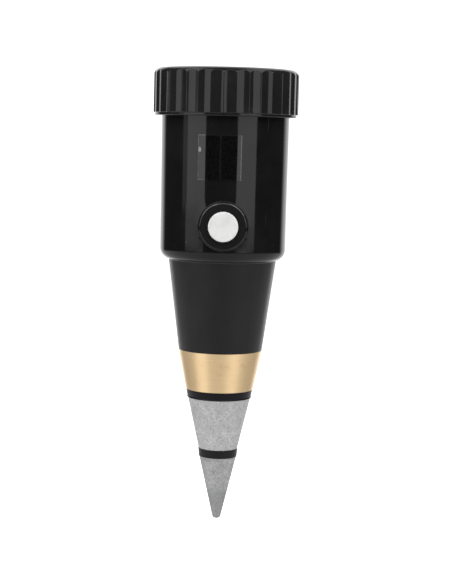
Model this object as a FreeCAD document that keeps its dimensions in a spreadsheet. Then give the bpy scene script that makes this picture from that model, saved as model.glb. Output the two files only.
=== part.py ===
"""Plug-in soil pH and moisture tester: fluted screw cap over a moving-coil meter, body with a push button,
and a conical probe of three electrodes. Millimetres, tip at the origin, +Z up, button towards -Y."""
import FreeCAD, Part
import math
import os
import Sketcher

V = FreeCAD.Vector
UP = V(0, 0, 1)
FRONT = V(0, -1, 0)

# Driving dimensions. Heights are measured up from the tip, and "reach" is measured out from the body's axis.
DIMENSIONS = {
    # whole object
    "overall_length": 160,
    # probe, from the tip up
    "tip_top": 22.8,
    "tip_top_radius": 6.65,
    "tip_flat_radius": 1.3,
    "lower_collar_top": 25.8,
    "ring_bottom_radius": 6.95,
    "ring_top_radius": 11.15,
    "ring_top": 44.2,
    "upper_collar_top": 47.2,
    "brass_bottom_radius": 11.95,
    "brass_top_radius": 14.75,
    "brass_top": 61.3,
    "collar_overhang": 0.12,
    # housing
    "cone_bottom_radius": 14.8,
    "cone_top_radius": 19,
    "cone_top": 93.4,
    "barrel_bottom_radius": 22.1,
    "barrel_top_radius": 22.4,
    "neck_radius": 21.95,
    "shoulder_round": 3.9,
    "shoulder_rise": 0.9,
    "wall": 2.2,
    "floor_thickness": 3,
    "spigot_radius": 10.4,
    "spigot_length": 2,
    "barrel_bore_radius": 19.3,
    "ledge_height": 146.4,
    "neck_bore_radius": 20.2,
    "neck_top": 154.7,
    # cap and window
    "cap_radius": 25.4,
    "cap_lip_radius": 24.85,
    "cap_bore_radius": 22.7,
    "cap_opening_radius": 20.4,
    "cap_bottom": 143.45,
    "cap_lip_top": 144.5,
    "cap_rim_thickness": 2.4,
    "flute_count": 36,
    "flute_depth": 0.4,
    "ridge_round": 0.35,
    "cap_corner_round": 2.5,
    "window_flange_radius": 22.4,
    "window_radius": 20,
    "window_bottom": 155.5,
    "window_shoulder": 157.5,
    "window_top": 159.2,
    # cap thread
    "thread_pitch": 3,
    "thread_turns": 2,
    "thread_start": 146.6,
    "thread_height": 0.6,
    "thread_root_half": 0.85,
    "thread_crest_half": 0.5,
    # nameplate
    "nameplate_bottom": 121.7,
    "nameplate_top": 137.1,
    "nameplate_thickness": 0.2,
    "nameplate_angle": 38.6,
    # push switch, by reach from the body's axis
    "switch_height": 106.15,
    "seat_radius": 8.6,
    "seat_reach": 22.4,
    "seat_back_reach": 17.4,
    "bush_radius": 5.95,
    "flange_radius": 8.25,
    "flange_thickness": 1.2,
    "button_radius": 5.125,
    "button_reach": 25.4,
    "button_skirt_reach": 17,
    "web_front_reach": 13.9,
    "web_back_reach": 12.4,
    "bush_back_reach": 11,
    "stem_radius": 1.7,
    "stem_neck_radius": 1.2,
    "stem_back_reach": 9.2,
    "bridge_front_reach": 12.3,
    "bridge_thickness": 0.4,
    "contact_reach": 10,
    "case_back_reach": 4,
    "lug_back_reach": -2.8,
    "lug_spacing": 6.8,
    "board_front_reach": 0,
    "board_thickness": 1.6,
    # meter
    "meter_offset": -6.5,
    "case_bottom": 126,
    "case_radius": 18.7,
    "case_wall": 1.2,
    "dial_top": 148,
    "dial_thickness": 0.5,
    "dial_radius": 19.9,
    "core_radius": 5.5,
    "core_bottom": 134.8,
    "core_top": 144.8,
    "yoke_bore_radius": 8.6,
    "yoke_radius": 11,
    "yoke_bottom": 134,
    "yoke_top": 145.4,
    "post_offset": 9.8,
    "upper_bridge_bottom": 151.2,
    "lower_bridge_bottom": 128.8,
    "bridge_strip": 1,
    # electrode connections
    "rod_radius": 1.5,
    "contact_tube_radius": 3,
}

doc = FreeCAD.newDocument("soil_tester")
sheet = doc.addObject("Spreadsheet::Sheet", "Dims")
SUB_PARTS = []


class Size:
    """A length that carries both its value and the spreadsheet formula it comes from."""

    def __init__(self, value, formula=None):
        self.value = float(value)
        self.formula = formula if formula else f"{self.value}"

    def joined(self, sign, other, value):
        return Size(value, f"({self.formula} {sign} {size(other).formula})")

    def __add__(self, other):
        return self.joined("+", other, self.value + size(other).value)

    def __sub__(self, other):
        return self.joined("-", other, self.value - size(other).value)

    def __mul__(self, other):
        return self.joined("*", other, self.value * size(other).value)

    def __truediv__(self, other):
        return self.joined("/", other, self.value / size(other).value)

    def __neg__(self):
        return Size(0) - self

    __radd__ = __add__
    __rmul__ = __mul__


def size(length):
    return length if isinstance(length, Size) else Size(length)


class Dimensions:
    """The spreadsheet's cells by name, as D.cap_radius."""

    def __getattr__(self, name):
        return Size(DIMENSIONS[name], f"Dims.{name}")


D = Dimensions()


def fill_sheet():
    for row, (name, value) in enumerate(DIMENSIONS.items(), start=1):
        sheet.set(f"A{row}", name.replace("_", " "))
        sheet.set(f"B{row}", str(value))
        sheet.setAlias(f"B{row}", name)
    doc.recompute()


# ---- helpers: bodies, sketches and features -------------------------------------------------------------

def new_body(name):
    body = doc.addObject("PartDesign::Body", name)
    body.Label = name
    SUB_PARTS.append(body)
    return body


def origin_feature(body, role):
    return next(feature for feature in body.Origin.OriginFeatures if feature.Role == role)


def sketch_on(body, role, offset=0):
    """An empty sketch on one of the body's origin planes, moved along the plane's normal by offset."""
    sketch = body.newObject("Sketcher::SketchObject", f"{body.Name}_sketch")
    sketch.AttachmentSupport = [(origin_feature(body, role), "")]
    sketch.MapMode = "FlatFace"
    sketch.setExpression(".AttachmentOffset.Base.z", size(offset).formula)
    return sketch


def pin_point(sketch, edge, end, point):
    """Fixes one end of a sketch edge at a point given by two sizes."""
    for kind, length in zip(("DistanceX", "DistanceY"), point):
        index = sketch.addConstraint(Sketcher.Constraint(kind, -1, 1, edge, end, size(length).value))
        sketch.setExpression(f"Constraints[{index}]", size(length).formula)


def draw_outline(sketch, points):
    """A closed outline of straight edges through the points, each tied to the spreadsheet."""
    places = [V(size(x).value, size(y).value, 0) for x, y in points]
    first = sketch.GeometryCount
    count = len(points)
    for index, place in enumerate(places):
        sketch.addGeometry(Part.LineSegment(place, places[(index + 1) % count]))
    for index, point in enumerate(points):
        following = (index + 1) % count
        sketch.addConstraint(Sketcher.Constraint("Coincident", first + index, 2, first + following, 1))
        pin_point(sketch, first + index, 1, point)


def draw_circle(sketch, radius, centre=(0, 0)):
    place = V(size(centre[0]).value, size(centre[1]).value, 0)
    edge = sketch.addGeometry(Part.Circle(place, UP, size(radius).value))
    index = sketch.addConstraint(Sketcher.Constraint("Radius", edge, size(radius).value))
    sketch.setExpression(f"Constraints[{index}]", size(radius).formula)
    pin_point(sketch, edge, 3, centre)


def draw_box(sketch, low, high):
    draw_outline(sketch, [low, (high[0], low[1]), high, (low[0], high[1])])


def draw_hexagon(sketch, across_flats):
    corner = across_flats / math.sqrt(3)
    angles = [math.radians(60 * step) for step in range(6)]
    draw_outline(sketch, [(corner * math.cos(angle), corner * math.sin(angle)) for angle in angles])


def draw_slot(sketch, half_length, radius, centre=(0, 0)):
    """A stadium outline along the sketch's X axis."""
    x, y = centre
    near, far = V(x - half_length, y, 0), V(x + half_length, y, 0)
    rise = V(0, radius, 0)
    edges = [
        Part.LineSegment(near - rise, far - rise),
        Part.ArcOfCircle(Part.Circle(far, UP, radius), -math.pi / 2, math.pi / 2),
        Part.LineSegment(far + rise, near + rise),
        Part.ArcOfCircle(Part.Circle(near, UP, radius), math.pi / 2, 3 * math.pi / 2),
    ]
    first = sketch.GeometryCount
    for edge in edges:
        sketch.addGeometry(edge)
    for index in range(4):
        following = (index + 1) % 4
        sketch.addConstraint(Sketcher.Constraint("Coincident", first + index, 2, first + following, 1))
    for index in range(4):
        sketch.addConstraint(Sketcher.Constraint("Block", first + index))


def finish_feature(body, feature):
    body.Tip = feature
    doc.recompute()
    return feature


def revolve(body, points, angle=360, cut=False):
    """Turns an outline of (radius, height) points about the body's own Z axis."""
    sketch = sketch_on(body, "XZ_Plane")
    draw_outline(sketch, points)
    kind = "PartDesign::Groove" if cut else "PartDesign::Revolution"
    feature = body.newObject(kind, f"{body.Name}_turned")
    feature.Profile = sketch
    feature.ReferenceAxis = (sketch, ["V_Axis"])
    feature.setExpression("Angle", size(angle).formula)
    return finish_feature(body, feature)


def pad(body, sketch, length, backwards=False):
    feature = body.newObject("PartDesign::Pad", f"{body.Name}_pad")
    feature.Profile = sketch
    feature.setExpression("Length", size(length).formula)
    feature.Reversed = backwards
    return finish_feature(body, feature)


def pocket(body, sketch, length, backwards=False):
    """Cuts the sketch into the body, and fails loudly if it takes nothing away."""
    before = body.Shape.Volume
    feature = body.newObject("PartDesign::Pocket", f"{body.Name}_pocket")
    feature.Profile = sketch
    feature.setExpression("Length", size(length).formula)
    feature.Reversed = backwards
    finish_feature(body, feature)
    if body.Shape.Volume > before - 0.001:
        raise ValueError(f"a pocket of {body.Label} cuts nothing")
    return feature


def polar_pattern(body, feature, count):
    pattern = body.newObject("PartDesign::PolarPattern", f"{body.Name}_pattern")
    pattern.Originals = [feature]
    pattern.Axis = (origin_feature(body, "Z_Axis"), [""])
    pattern.Angle = 360
    pattern.setExpression("Occurrences", size(count).formula)
    return finish_feature(body, pattern)


def rim_names(body, rims, axis):
    """Names of the tip's circular edges that lie at the given (radius, height along the axis) pairs."""
    names = []
    for number, edge in enumerate(body.Tip.Shape.Edges, start=1):
        if not isinstance(edge.Curve, Part.Circle):
            continue
        for radius, height in rims:
            same_radius = abs(edge.Curve.Radius - size(radius).value) < 0.01
            if same_radius and abs(edge.Curve.Center.dot(axis) - size(height).value) < 0.01:
                names.append(f"Edge{number}")
    if len(names) < len(rims):
        raise ValueError(f"{body.Label}: found {len(names)} rims of {len(rims)}")
    return names


def round_rims(body, radius, rims, kind="Fillet", axis=UP):
    """Rounds (or chamfers) circular edges of the body, found by their radius and height."""
    names = rim_names(body, rims, axis)
    base = body.Tip
    feature = body.newObject(f"PartDesign::{kind}", f"{body.Name}_{kind.lower()}")
    feature.Base = (base, names)
    feature.setExpression("Radius" if kind == "Fillet" else "Size", size(radius).formula)
    return finish_feature(body, feature)


def turned(name, points):
    body = new_body(name)
    revolve(body, points)
    return body


def tube_outline(inner, outer, bottom, top):
    return [(inner, bottom), (outer, bottom), (outer, top), (inner, top)]


def tube(name, inner, outer, bottom, top):
    return turned(name, tube_outline(inner, outer, bottom, top))


def along_switch(body, reach=0):
    """Turns a body's own +Z towards the front (-Y) at the switch's height, and moves it out by reach."""
    place = V(0, -reach, DIMENSIONS["switch_height"])
    body.Placement = FreeCAD.Placement(place, FreeCAD.Rotation(V(1, 0, 0), 90))


def at_meter_axis(body, height=0, angle=0):
    """Moves a body from the main axis to the meter's axis, up by height, and turns it about that axis."""
    place = V(0, DIMENSIONS["meter_offset"], height)
    body.Placement = FreeCAD.Placement(place, FreeCAD.Rotation(UP, angle))


def primitive(kind, name, expressions, place=V(0, 0, 0)):
    """A Part primitive whose sizes are bound to formulas."""
    item = doc.addObject(f"Part::{kind}", name)
    for prop, length in expressions.items():
        item.setExpression(prop, size(length).formula)
    item.Placement = FreeCAD.Placement(place, FreeCAD.Rotation())
    return item


def group(name, items):
    """Separate identical solids kept in one node."""
    feature = doc.addObject("Part::Compound", name)
    feature.Links = items
    feature.Label = name
    SUB_PARTS.append(feature)
    doc.recompute()
    return feature


def shape_feature(name, shape):
    feature = doc.addObject("Part::Feature", name)
    feature.Shape = shape
    feature.Label = name
    SUB_PARTS.append(feature)
    return feature


# ---- helpers: wires and springs ------------------------------------------------------------------------

def bent_wire(points, radius):
    """A round wire along straight runs joined by tangent arcs, each as large as its two runs allow."""
    corners = [V(*point) for point in points]
    edges = []
    start = corners[0]
    for before, corner, after in zip(corners, corners[1:], corners[2:]):
        back = before - corner
        ahead = after - corner
        turn = math.pi - back.getAngle(ahead)
        trim = 0.45 * min(back.Length, ahead.Length)
        arc_start = corner + back.normalize() * trim
        arc_end = corner + ahead.normalize() * trim
        bend = trim / math.tan(turn / 2)
        inward = (back + ahead).normalize()
        centre = corner + inward * math.hypot(bend, trim)
        arc_middle = centre - inward * bend
        edges.append(Part.LineSegment(start, arc_start).toShape())
        edges.append(Part.Arc(arc_start, arc_middle, arc_end).toShape())
        start = arc_end
    edges.append(Part.LineSegment(start, corners[-1]).toShape())
    path = Part.Wire(edges)
    direction = corners[1] - corners[0]
    section = Part.Wire(Part.Circle(corners[0], direction, radius).toShape())
    wire = path.makePipeShell([section], True, False)
    expected = math.pi * radius ** 2 * path.Length
    if abs(wire.Volume - expected) > 0.02 * expected:
        raise ValueError("a wire's volume does not match its section and length")
    return wire


def swept_round(path, start, direction, radius):
    section = Part.Wire(Part.Circle(start, direction, radius).toShape())
    return Part.Wire(path).makePipeShell([section], True, True)


def coil_spring(mean_radius, wire_radius, height, turns):
    """A compression spring about +Z from height 0."""
    helix = Part.makeHelix(height / turns, height, mean_radius)
    return swept_round(helix.Edges, V(mean_radius, 0, 0), V(0, 1, 0), wire_radius)


def spiral_strip(inner, outer, turns, width, thickness):
    """A flat spiral hairspring about +Z: a strip of the given width, standing on edge at height 0."""
    steps = int(turns * 8)
    def row(shift):
        points = []
        for step in range(steps + 1):
            share = step / steps
            angle = 2 * math.pi * turns * share
            radius = inner + (outer - inner) * share + shift
            points.append(V(radius * math.cos(angle), radius * math.sin(angle), 0))
        return points
    inside, outside = Part.BSplineCurve(), Part.BSplineCurve()
    inside.interpolate(row(0))
    outside.interpolate(row(thickness))
    ends = [
        Part.LineSegment(outside.EndPoint, inside.EndPoint).toShape(),
        Part.LineSegment(inside.StartPoint, outside.StartPoint).toShape(),
    ]
    outline = Part.Wire([outside.toShape(), ends[0], inside.toShape(), ends[1]])
    return Part.Face(outline).extrude(V(0, 0, width))


# ---- cap and window ------------------------------------------------------------------------------------

def add_thread(body, radius, inward, start):
    """A helical ridge that stands in or out of a cylindrical wall."""
    sign = -1 if inward else 1
    root = size(radius) - sign * 0.1
    crest = size(radius) + sign * D.thread_height
    sketch = sketch_on(body, "XZ_Plane")
    draw_outline(sketch, [
        (root, start - D.thread_root_half),
        (crest, start - D.thread_crest_half),
        (crest, start + D.thread_crest_half),
        (root, start + D.thread_root_half),
    ])
    ridge = body.newObject("PartDesign::AdditiveHelix", f"{body.Name}_thread")
    ridge.Profile = sketch
    ridge.ReferenceAxis = (sketch, ["V_Axis"])
    ridge.Mode = "pitch-height-angle"
    ridge.setExpression("Pitch", D.thread_pitch.formula)
    ridge.setExpression("Height", (D.thread_pitch * D.thread_turns).formula)
    return finish_feature(body, ridge)


# How far the tightened cap has turned past having a flute right above the button.
CAP_REST_ANGLE = 3
# How far a cut runs past the material, and how far a joined shape reaches into it.
CUT_PAST = 1
JOIN_DEPTH = 0.1


def make_screw_cap():
    rim_bottom = D.overall_length - D.cap_rim_thickness
    cap = new_body("screw_cap")
    grip = sketch_on(cap, "XY_Plane", D.cap_lip_top)
    draw_fluted_outline(grip)
    pad(cap, grip, D.overall_length - D.cap_lip_top)
    round_grip_top(cap)
    revolve(cap, [
        (D.cap_opening_radius, D.cap_bottom),
        (D.cap_lip_radius, D.cap_bottom),
        (D.cap_lip_radius, D.cap_lip_top + JOIN_DEPTH),
        (D.cap_opening_radius, D.cap_lip_top + JOIN_DEPTH),
    ])
    bore = sketch_on(cap, "XY_Plane", rim_bottom)
    draw_circle(bore, D.cap_bore_radius)
    pocket(cap, bore, rim_bottom - D.cap_bottom + CUT_PAST)
    opening = sketch_on(cap, "XY_Plane", D.overall_length + CUT_PAST)
    draw_circle(opening, D.cap_opening_radius)
    pocket(cap, opening, D.cap_rim_thickness + 2 * CUT_PAST)
    round_rims(cap, 0.5, [(D.cap_opening_radius, D.overall_length)])
    round_rims(cap, 0.3, [(D.cap_lip_radius, D.cap_bottom)])
    add_thread(cap, D.cap_bore_radius, True, D.thread_start + D.thread_pitch / 2)
    cap.Placement = FreeCAD.Placement(V(0, 0, 0), FreeCAD.Rotation(UP, CAP_REST_ANGLE))


def draw_fluted_outline(sketch):
    """The cap's grip: concave flutes round a circle, with small rounded ridges between them."""
    count = int(DIMENSIONS["flute_count"])
    half_pitch = math.pi / count
    ridge = DIMENSIONS["ridge_round"]
    ridge_centre = DIMENSIONS["cap_radius"] - ridge
    valley = DIMENSIONS["cap_radius"] - DIMENSIONS["flute_depth"]
    inset = valley - ridge_centre * math.cos(half_pitch)
    offset = ridge_centre * math.sin(half_pitch)
    flute = (inset ** 2 + offset ** 2 - ridge ** 2) / (2 * (ridge - inset))
    flute_centre = valley + flute
    flute_turn = math.atan2(offset, flute_centre - ridge_centre * math.cos(half_pitch))
    ridge_turn = flute_turn + half_pitch
    for index in range(count):
        middle = 2 * half_pitch * index
        add_turned_arc(sketch, middle, flute_centre, flute, math.pi, flute_turn)
        add_turned_arc(sketch, middle + half_pitch, ridge_centre, ridge, 0, ridge_turn)


def add_turned_arc(sketch, bearing, distance, radius, facing, half_turn):
    """A fixed arc whose centre lies at a bearing and distance, and which faces out (0) or in (pi)."""
    centre = V(distance * math.cos(bearing), distance * math.sin(bearing), 0)
    middle = bearing + facing
    circle = Part.Circle(centre, UP, radius)
    index = sketch.addGeometry(Part.ArcOfCircle(circle, middle - half_turn, middle + half_turn))
    sketch.addConstraint(Sketcher.Constraint("Block", index))


def round_grip_top(cap):
    """Rounds the grip's top corner, so that the flutes run out in arches."""
    corner = DIMENSIONS["cap_corner_round"]
    clear_of_ridges = 0.05
    top, outside = DIMENSIONS["overall_length"], DIMENSIONS["cap_radius"] + clear_of_ridges
    centre = V(outside - corner, top - corner, 0)
    sketch = sketch_on(cap, "XZ_Plane")
    edges = [
        Part.ArcOfCircle(Part.Circle(centre, UP, corner), 0, math.pi / 2),
        Part.LineSegment(V(outside - corner, top, 0), V(outside - corner, top + CUT_PAST, 0)),
        Part.LineSegment(V(outside - corner, top + CUT_PAST, 0), V(outside + CUT_PAST, top + CUT_PAST, 0)),
        Part.LineSegment(V(outside + CUT_PAST, top + CUT_PAST, 0), V(outside + CUT_PAST, top - corner, 0)),
        Part.LineSegment(V(outside + CUT_PAST, top - corner, 0), V(outside, top - corner, 0)),
    ]
    for index, edge in enumerate(edges):
        sketch.addGeometry(edge)
        sketch.addConstraint(Sketcher.Constraint("Block", index))
    groove = cap.newObject("PartDesign::Groove", "screw_cap_corner")
    groove.Profile = sketch
    groove.ReferenceAxis = (sketch, ["V_Axis"])
    groove.Angle = 360
    finish_feature(cap, groove)


def make_window():
    window = turned("window", [
        (0, D.window_bottom),
        (D.window_flange_radius, D.window_bottom),
        (D.window_flange_radius, D.window_shoulder),
        (D.window_radius, D.window_shoulder),
        (D.window_radius, D.window_top),
        (0, D.window_top),
    ])
    round_rims(window, 0.5, [(D.window_radius, D.window_top)])
    tube("window_gasket", 19.4, 21.9, D.neck_top, D.window_bottom)


def make_dial_ring():
    ring = tube("dial_ring", 18.9, D.neck_bore_radius - 0.05, D.dial_top, D.neck_top)
    round_rims(ring, 0.4, [(18.9, D.neck_top)], "Chamfer")


# ---- housing -------------------------------------------------------------------------------------------

def make_housing():
    floor_top = D.brass_top + D.floor_thickness
    spigot_bottom = D.brass_top - D.spigot_length
    housing = turned("housing", [
        (4.05, spigot_bottom),
        (D.spigot_radius, spigot_bottom),
        (D.spigot_radius, D.brass_top),
        (D.cone_bottom_radius, D.brass_top),
        (D.cone_top_radius, D.cone_top),
        (D.barrel_bottom_radius, D.cone_top + D.shoulder_rise),
        (D.barrel_top_radius, D.cap_lip_top),
        (D.neck_radius, D.cap_lip_top),
        (D.neck_radius, D.neck_top),
        (D.neck_bore_radius, D.neck_top),
        (D.neck_bore_radius, D.ledge_height),
        (D.barrel_bore_radius, D.ledge_height),
        (D.barrel_bore_radius, D.cone_top + D.wall),
        (D.cone_top_radius - D.wall, D.cone_top),
        (D.cone_bottom_radius - D.wall, floor_top),
        (4.05, floor_top),
    ])
    round_rims(housing, D.shoulder_round, [(D.barrel_bottom_radius, D.cone_top + D.shoulder_rise)])
    round_rims(housing, 0.35, [(D.cone_top_radius, D.cone_top)])
    add_switch_seat(housing)
    bore_contact_hole(housing)
    add_thread(housing, D.neck_radius, False, D.thread_start)


def add_switch_seat(housing):
    """A round pad through the barrel's wall with flat front and back faces, bored for the switch."""
    seat = sketch_on(housing, "XZ_Plane", D.seat_back_reach)
    draw_circle(seat, D.seat_radius, (0, D.switch_height))
    pad(housing, seat, D.seat_reach - D.seat_back_reach)
    round_rims(housing, 0.2, [(D.seat_radius, D.seat_reach)], axis=FRONT)
    bore = sketch_on(housing, "XZ_Plane", D.seat_reach + CUT_PAST)
    draw_circle(bore, D.bush_radius + 0.05, (0, D.switch_height))
    pocket(housing, bore, 8)


def bore_contact_hole(housing):
    """Hole in the floor for the screw that reaches the brass electrode."""
    hole = sketch_on(housing, "XY_Plane", D.brass_top + D.floor_thickness + CUT_PAST)
    draw_circle(hole, 1.3, (-7.6, 0))
    pocket(housing, hole, D.floor_thickness + D.spigot_length + 2 * CUT_PAST)


def make_nameplate():
    """A thin plate bent round the barrel, turned a few degrees to the left of the button's line."""
    slope = (D.barrel_top_radius - D.barrel_bottom_radius) / (D.cap_lip_top - D.cone_top)
    low = D.barrel_bottom_radius + slope * (D.nameplate_bottom - D.cone_top)
    high = D.barrel_bottom_radius + slope * (D.nameplate_top - D.cone_top)
    plate = new_body("nameplate")
    revolve(plate, [
        (low, D.nameplate_bottom),
        (low + D.nameplate_thickness, D.nameplate_bottom),
        (high + D.nameplate_thickness, D.nameplate_top),
        (high, D.nameplate_top),
    ], D.nameplate_angle)
    left_edge = -90 - 23.8
    plate.Placement = FreeCAD.Placement(V(0, 0, 0), FreeCAD.Rotation(UP, left_edge))


# ---- push switch ---------------------------------------------------------------------------------------

def make_switch_bush():
    well_radius = D.button_radius + 0.1
    front = D.seat_reach + D.flange_thickness
    bush = turned("switch_bush", [
        (4.9, D.bush_back_reach),
        (D.bush_radius, D.bush_back_reach),
        (D.bush_radius, D.seat_reach),
        (D.flange_radius, D.seat_reach),
        (D.flange_radius, front),
        (well_radius, front),
        (well_radius, D.web_front_reach),
        (D.stem_radius + 0.06, D.web_front_reach),
        (D.stem_radius + 0.06, D.web_back_reach),
        (4.9, D.web_back_reach),
    ])
    round_rims(bush, 0.6, [(D.flange_radius, front)])
    round_rims(bush, 0.2, [(well_radius, front)], "Chamfer")
    along_switch(bush)


def make_switch_button():
    hollow = D.button_radius - 1
    bridge_back = D.bridge_front_reach - D.bridge_thickness
    button = turned("switch_button", [
        (0, D.stem_back_reach),
        (D.stem_radius, D.stem_back_reach),
        (D.stem_radius, bridge_back),
        (D.stem_neck_radius, bridge_back),
        (D.stem_neck_radius, D.bridge_front_reach),
        (D.stem_radius, D.bridge_front_reach),
        (D.stem_radius, D.button_reach - 1.5),
        (hollow, D.button_reach - 1.5),
        (hollow, D.button_skirt_reach),
        (D.button_radius, D.button_skirt_reach),
        (D.button_radius, D.button_reach),
        (0, D.button_reach),
    ])
    round_rims(button, 0.45, [(D.button_radius, D.button_reach)])
    along_switch(button)


def make_switch_spring():
    length = DIMENSIONS["button_reach"] - 1.5 - DIMENSIONS["web_front_reach"]
    wire = 0.3
    spring = coil_spring(2.9, wire, length - 2 * wire, 5)
    along_switch(shape_feature("switch_spring", spring), DIMENSIONS["web_front_reach"] + wire)


def make_switch_case():
    case = turned("switch_case", [
        (0, D.case_back_reach),
        (5.4, D.case_back_reach),
        (5.4, D.bush_back_reach),
        (4.85, D.bush_back_reach),
        (4.85, D.web_back_reach),
        (4.2, D.web_back_reach),
        (4.2, D.case_back_reach + 1.6),
        (0, D.case_back_reach + 1.6),
    ])
    slots = sketch_on(case, "XY_Plane", D.case_back_reach + 3)
    for side in (-1, 1):
        middle = D.lug_spacing * (side / 2)
        draw_box(slots, (middle - 0.26, -1.01), (middle + 0.26, 1.01))
    pocket(case, slots, 4)
    along_switch(case)


def make_contact_bridge():
    bridge = new_body("contact_bridge")
    outline = sketch_on(bridge, "XY_Plane", D.bridge_front_reach - D.bridge_thickness)
    draw_slot(outline, 2.3, 1.75)
    draw_circle(outline, D.stem_neck_radius)
    pad(bridge, outline, D.bridge_thickness)
    along_switch(bridge)


def make_switch_terminals():
    """Two flat contacts that run from inside the case back through the board as lugs."""
    lugs = []
    for side in (-1, 1):
        middle = DIMENSIONS["lug_spacing"] / 2 * side
        place = V(middle - 0.25, DIMENSIONS["board_front_reach"] - DIMENSIONS["contact_reach"],
                  DIMENSIONS["switch_height"] - 1)
        sizes = {"Length": 0.5, "Width": D.contact_reach - D.lug_back_reach, "Height": 2}
        lugs.append(primitive("Box", f"lug_{'left' if side < 0 else 'right'}", sizes, place))
    group("switch_terminals", lugs)


def make_switch_fixings():
    washer = tube("switch_washer", D.bush_radius + 0.1, 7.9, D.seat_back_reach - 0.5, D.seat_back_reach)
    tooth = sketch_on(washer, "XY_Plane", D.seat_back_reach + 1)
    draw_box(tooth, (7, -0.5), (8.5, 0.5))
    polar_pattern(washer, pocket(washer, tooth, 3), 14)
    along_switch(washer)
    nut = new_body("switch_nut")
    outline = sketch_on(nut, "XY_Plane", D.seat_back_reach - 2.5)
    draw_hexagon(outline, 14)
    draw_circle(outline, D.bush_radius + 0.05)
    pad(nut, outline, 2)
    along_switch(nut)


def make_circuit_board():
    """A board behind the switch, standing on edge and soldered to the switch's lugs."""
    half_width, below, above = 10, 8, 15
    board = new_body("circuit_board")
    outline = sketch_on(board, "XZ_Plane", D.board_front_reach)
    draw_box(outline, (-half_width, D.switch_height - below), (half_width, D.switch_height + above))
    for side in (-1, 1):
        middle = D.lug_spacing * (side / 2)
        draw_box(outline, (middle - 0.3, D.switch_height - 1.1), (middle + 0.3, D.switch_height + 1.1))
    for x, z in board_holes():
        draw_circle(outline, 0.5, (x, z))
    pad(board, outline, D.board_thickness, True)


def board_holes():
    """Hole places on the board: three electrode leads below, two meter leads and the resistors above."""
    switch = DIMENSIONS["switch_height"]
    leads = [(-6, switch - 6), (0, switch - 6), (6, switch - 6), (-7, switch + 13), (7, switch + 13)]
    resistor_ends = [(x, switch + rise) for rise in RESISTOR_RISES for x in (-6, 6)]
    return leads + resistor_ends


RESISTOR_RISES = (5, 9)


def make_resistors():
    """Two axial resistors lying along X on the back of the board, with bent leads through it."""
    back = DIMENSIONS["board_thickness"]
    standoff = back + 1.6
    bodies = []
    for rise in RESISTOR_RISES:
        height = DIMENSIONS["switch_height"] + rise
        barrel = Part.makeCylinder(0.95, 6.4, V(-3.2, standoff, height), V(1, 0, 0))
        for end in (-1, 1):
            cap = Part.makeCylinder(1.15, 1.5, V(end * 2.6 - 0.75, standoff, height), V(1, 0, 0))
            barrel = barrel.fuse(cap)
            lead = bent_wire([
                (end * 3.1, standoff, height),
                (end * 6, standoff, height),
                (end * 6, -0.6, height),
            ], 0.3)
            barrel = barrel.fuse(lead)
        bodies.append(barrel)
    shape_feature("resistors", Part.makeCompound(bodies))


# ---- meter ---------------------------------------------------------------------------------------------

def make_meter_case():
    inner = D.case_radius - D.case_wall
    floor_top = D.case_bottom + D.case_wall
    flange_top = D.dial_top - D.dial_thickness
    case = turned("meter_case", [
        (0, D.case_bottom),
        (D.case_radius, D.case_bottom),
        (D.case_radius, D.ledge_height),
        (D.dial_radius, D.ledge_height),
        (D.dial_radius, flange_top),
        (inner, flange_top),
        (inner, floor_top),
        (0, floor_top),
    ])
    bosses = sketch_on(case, "XY_Plane", floor_top)
    for side in (-1, 1):
        draw_circle(bosses, 2.2, (D.post_offset * side, D.meter_offset))
    pad(case, bosses, D.lower_bridge_bottom - floor_top)
    dial_posts = sketch_on(case, "XY_Plane", floor_top)
    for x, y in DIAL_SCREW_PLACES:
        draw_circle(dial_posts, 2, (x, y))
    pad(case, dial_posts, flange_top - floor_top)
    screw_holes = sketch_on(case, "XY_Plane", D.lower_bridge_bottom + 1)
    for side in (-1, 1):
        draw_circle(screw_holes, 1.05, (D.post_offset * side, D.meter_offset))
    for side in (-1, 1):
        draw_circle(screw_holes, 0.8, (TERMINAL_SPACING / 2 * side, TERMINAL_DEPTH))
    pocket(case, screw_holes, 6)
    dial_holes = sketch_on(case, "XY_Plane", flange_top + 1)
    for x, y in DIAL_SCREW_PLACES:
        draw_circle(dial_holes, 0.8, (x, y))
    pocket(case, dial_holes, 6)


DIAL_SCREW_PLACES = ((-15.2, 2), (15.2, 2))
TERMINAL_SPACING = 14
TERMINAL_DEPTH = 9


def make_dial_plate():
    dial = new_body("dial_plate")
    outline = sketch_on(dial, "XY_Plane", D.dial_top - D.dial_thickness)
    draw_circle(outline, D.dial_radius)
    draw_slot(outline, 8.6, 3.4, (0, DIMENSIONS["meter_offset"]))
    for x, y in DIAL_SCREW_PLACES:
        draw_circle(outline, 0.85, (x, y))
    pad(dial, outline, D.dial_thickness)


def slotted_screw(name, radius, bottom, seat, head_radius, head_height, slot=0.4):
    """A screw from bottom up to a cheese head on seat, with a slot across the head."""
    top = size(seat) + head_height
    screw = new_body(name)
    revolve(screw, [(0, bottom), (radius, bottom), (radius, seat), (head_radius, seat),
                    (head_radius, top), (0, top)])
    round_rims(screw, 0.15, [(head_radius, top)])
    cut = sketch_on(screw, "XY_Plane", top + 1)
    draw_box(cut, (-head_radius - 1, -slot / 2), (head_radius + 1, slot / 2))
    pocket(screw, cut, 1 + head_height / 2)
    SUB_PARTS.remove(screw)
    return screw


def copies(name, original, placements):
    """Places one finished solid several times as separate solids in a single node."""
    solid = original.Shape
    shapes = []
    for placement in placements:
        shape = solid.copy()
        shape.Placement = placement.multiply(shape.Placement)
        shapes.append(shape)
    return shape_feature(name, Part.makeCompound(shapes))


def moved(x, y, z=0, angle=0, flipped=False):
    turn = FreeCAD.Rotation(UP, angle)
    if flipped:
        turn = turn.multiply(FreeCAD.Rotation(V(1, 0, 0), 180))
    return FreeCAD.Placement(V(x, y, z), turn)


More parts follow.
